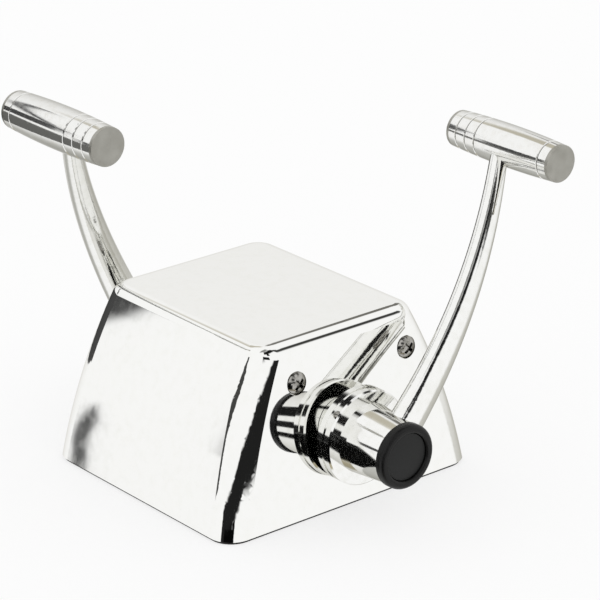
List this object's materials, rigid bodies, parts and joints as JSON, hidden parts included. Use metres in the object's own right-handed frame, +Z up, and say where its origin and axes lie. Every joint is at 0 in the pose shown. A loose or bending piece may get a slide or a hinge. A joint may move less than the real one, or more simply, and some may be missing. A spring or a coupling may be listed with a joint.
{
  "type": "boat throttle control lever",
  "caption": "Top-mount boat engine control: mirror-finished cover, bowed levers with barrel grips, push buttons in the hubs, and geared shift and throttle linkage inside.",
  "frame": {"origin": "middle of the mounting face, on the console surface, at the centre of the four base threads", "axes": "+Z up from the console, +X along the pivot axis towards the right-hand lever, +Y ahead; the right lever rests forward and the left lever aft"},
  "size_m": [0.229, 0.2467, 0.2004],
  "materials": {
    "polished_chrome": "mirror-polished chrome plate",
    "satin_aluminium": "satin turned",
    "black_plastic": "moulded black acetal",
    "button_plastic": "semi-gloss black",
    "black_rubber": "matt moulded",
    "zinc_steel": "zinc-plated pressed steel",
    "hardened_steel": "ground and oiled",
    "stainless_screws": "bright stainless",
    "bronze": "sintered bronze",
    "cast_aluminium": "as cast"
  },
  "bodies": {
    "frame": {"cover": "polished_chrome", "corner_posts": "zinc_steel", "base_gasket": "black_rubber", "cover_screws": "stainless_screws", "frame_pillars": "zinc_steel", "detent_balls": "hardened_steel", "detent_springs": "hardened_steel", "drag_screws": "stainless_screws", "gear_studs": "hardened_steel", "stud_clips": "hardened_steel", "right_outer_plate": "zinc_steel", "right_inner_plate": "zinc_steel", "right_bearing_boss": "polished_chrome", "right_outer_bush": "bronze", "right_inner_bush": "bronze", "right_detent_body": "zinc_steel", "right_drag_body": "zinc_steel", "right_neutral_switch": "black_plastic", "right_cable_anchors": "cast_aluminium", "left_outer_plate": "zinc_steel", "left_inner_plate": "zinc_steel", "left_bearing_boss": "polished_chrome", "left_outer_bush": "bronze", "left_inner_bush": "bronze", "left_detent_body": "zinc_steel", "left_drag_body": "zinc_steel", "left_neutral_switch": "black_plastic", "left_cable_anchors": "cast_aluminium"},
    "right_lever": {"right_lever_arm": "polished_chrome", "right_lever_collar": "polished_chrome", "right_grip": "polished_chrome", "right_grip_end_discs": "satin_aluminium", "right_lever_shaft": "hardened_steel", "right_shaft_clip": "hardened_steel", "right_drive_pinion": "hardened_steel", "right_throttle_crank": "zinc_steel", "right_throttle_pin": "hardened_steel", "right_detent_disc": "hardened_steel", "right_hub_screw": "stainless_screws", "right_button_bezel": "black_plastic", "right_button_spring": "hardened_steel"},
    "right_button": {"right_warmup_button": "button_plastic"},
    "right_shift": {"right_shift_gear": "hardened_steel", "right_shift_pin": "hardened_steel"},
    "left_lever": {"left_lever_arm": "polished_chrome", "left_lever_collar": "polished_chrome", "left_grip": "polished_chrome", "left_grip_end_discs": "satin_aluminium", "left_lever_shaft": "hardened_steel", "left_shaft_clip": "hardened_steel", "left_drive_pinion": "hardened_steel", "left_throttle_crank": "zinc_steel", "left_throttle_pin": "hardened_steel", "left_detent_disc": "hardened_steel", "left_hub_screw": "stainless_screws", "left_button_bezel": "black_plastic", "left_button_spring": "hardened_steel"},
    "left_button": {"left_warmup_button": "button_plastic"},
    "left_shift": {"left_shift_gear": "hardened_steel", "left_shift_pin": "hardened_steel"}
  },
  "joints": [
    {"name": "right_lever_swing", "type": "hinge", "parent": "frame", "child": "right_lever", "pos_m": [0.08358, 0, 0.0397], "axis": [1, 0, 0], "range_deg": [-34.5, 135.5]},
    {"name": "right_button_press", "type": "slide", "parent": "right_lever", "child": "right_button", "axis": [-1, 0, 0], "range_m": [0, 0.004], "stiffness_N_per_m": 900, "springref_m": -0.004},
    {"name": "right_shift_turn", "type": "hinge", "parent": "frame", "child": "right_shift", "pos_m": [0.04804, 0.02989, 0.03708], "axis": [1, 0, 0], "range_deg": [-90.7, 23.3]},
    {"name": "left_lever_swing", "type": "hinge", "parent": "frame", "child": "left_lever", "pos_m": [-0.08358, 0, 0.0397], "axis": [1, 0, 0], "range_deg": [-116, 54]},
    {"name": "left_button_press", "type": "slide", "parent": "left_lever", "child": "left_button", "axis": [1, 0, 0], "range_m": [0, 0.004], "stiffness_N_per_m": 900, "springref_m": -0.004},
    {"name": "left_shift_turn", "type": "hinge", "parent": "frame", "child": "left_shift", "pos_m": [-0.04804, 0.02989, 0.03708], "axis": [1, 0, 0], "range_deg": [-36.3, 77.7]}
  ],
  "couplings": [
    {"joint": "right_shift_turn", "follows": "right_lever_swing", "ratio": -0.66667},
    {"joint": "left_shift_turn", "follows": "left_lever_swing", "ratio": -0.66667}
  ]
}
